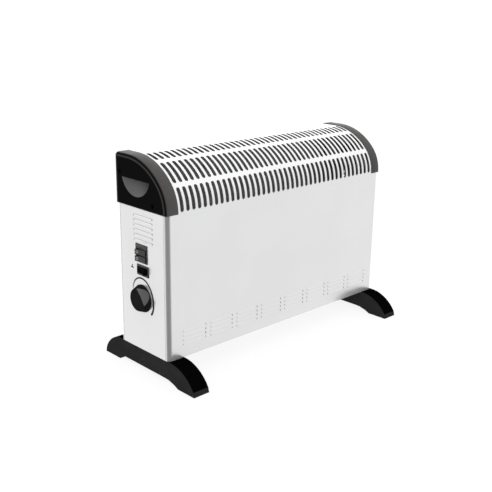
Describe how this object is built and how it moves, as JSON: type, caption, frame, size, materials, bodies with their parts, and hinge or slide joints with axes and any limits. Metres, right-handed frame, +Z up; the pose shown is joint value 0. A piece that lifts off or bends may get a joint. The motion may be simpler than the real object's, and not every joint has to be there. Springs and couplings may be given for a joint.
{
  "type": "fan convector heater",
  "caption": "Free-standing fan convector heater: white louvred steel cabinet on two feet, dark end caps, rocker switches and a thermostat knob on one end.",
  "frame": {"origin": "on the floor, at the centre of the heater's footprint box", "axes": "+X along the cabinet from the control end to the plain end, +Y from the front to the back, +Z up"},
  "size_m": [0.539, 0.242, 0.3663],
  "materials": {
    "sheet": "white satin powder coat",
    "zinc": "zinc-plated sheet steel",
    "cap_plastic": "near-black moulded plastic, fine grain",
    "foot_plastic": "near-black moulded plastic, fine grain",
    "control_plastic": "black satin-gloss moulded plastic",
    "knob_plastic": "black moulded plastic, fine grain",
    "screw_steel": "bright zinc-plated steel",
    "brass": "plain brass",
    "thermoset": "cream thermoset",
    "mica": "laminated mica board",
    "ceramic": "unglazed steatite",
    "resistance_wire": "oxidised resistance wire",
    "aluminium_part": "pressed aluminium cap",
    "fan_plastic": "dark moulded plastic",
    "motor_iron": "laminated iron with a wound coil",
    "wire_silicone": "red silicone insulation"
  },
  "bodies": {
    "casing": {"front_cover": "sheet", "back_panel": "sheet", "control_end_panel": "sheet", "plain_end_panel": "sheet", "base_pan": "zinc", "left_end_cap": "cap_plastic", "right_end_cap": "cap_plastic", "end_cap_screws": "screw_steel", "left_foot": "foot_plastic", "right_foot": "foot_plastic", "foot_screws": "screw_steel", "casing_screws": "screw_steel", "power_switch_housing": "control_plastic", "turbo_switch_housing": "control_plastic", "switch_terminals": "brass", "thermostat_body": "thermoset", "thermostat_screws": "screw_steel", "heat_shield": "zinc", "element_brackets": "zinc", "element_rails": "screw_steel", "mica_supports": "mica", "coil_insulators": "ceramic", "low_heat_coil": "resistance_wire", "high_heat_coil": "resistance_wire", "thermal_cutout": "aluminium_part", "fan_shroud": "fan_plastic", "fan_motor": "motor_iron", "fan_screws": "screw_steel", "terminal_block": "thermoset", "terminal_screws": "brass", "wiring_loom": "wire_silicone", "cable_gland": "control_plastic", "earth_screw": "brass"},
    "thermostat_dial": {"thermostat_knob": "knob_plastic", "thermostat_shaft": "screw_steel"},
    "upper_switch_key": {"upper_power_rocker": "control_plastic"},
    "lower_switch_key": {"lower_power_rocker": "control_plastic"},
    "turbo_switch_key": {"turbo_rocker": "control_plastic"},
    "fan_rotor": {"fan_impeller": "fan_plastic", "motor_shaft": "screw_steel"}
  },
  "joints": [
    {"name": "thermostat_turn", "type": "hinge", "parent": "casing", "child": "thermostat_dial", "pos_m": [-0.2585, 0.0077, 0.1318], "axis": [-1, 0, 0], "range_deg": [-172, 35]},
    {"name": "upper_power_rocker_tilt", "type": "hinge", "parent": "casing", "child": "upper_switch_key", "pos_m": [-0.2547, 0.0075, 0.2113], "axis": [0, 0, 1], "range_deg": [-18, 0]},
    {"name": "lower_power_rocker_tilt", "type": "hinge", "parent": "casing", "child": "lower_switch_key", "pos_m": [-0.2547, 0.0075, 0.2001], "axis": [0, 0, 1], "range_deg": [-18, 0]},
    {"name": "turbo_rocker_tilt", "type": "hinge", "parent": "casing", "child": "turbo_switch_key", "pos_m": [-0.2547, 0.0048, 0.1801], "axis": [0, 0, 1], "range_deg": [0, 18]},
    {"name": "fan_spin", "type": "hinge", "parent": "casing", "child": "fan_rotor", "pos_m": [0.0645, 0.0045, 0.06], "axis": [0, 0, 1], "continuous": true}
  ]
}
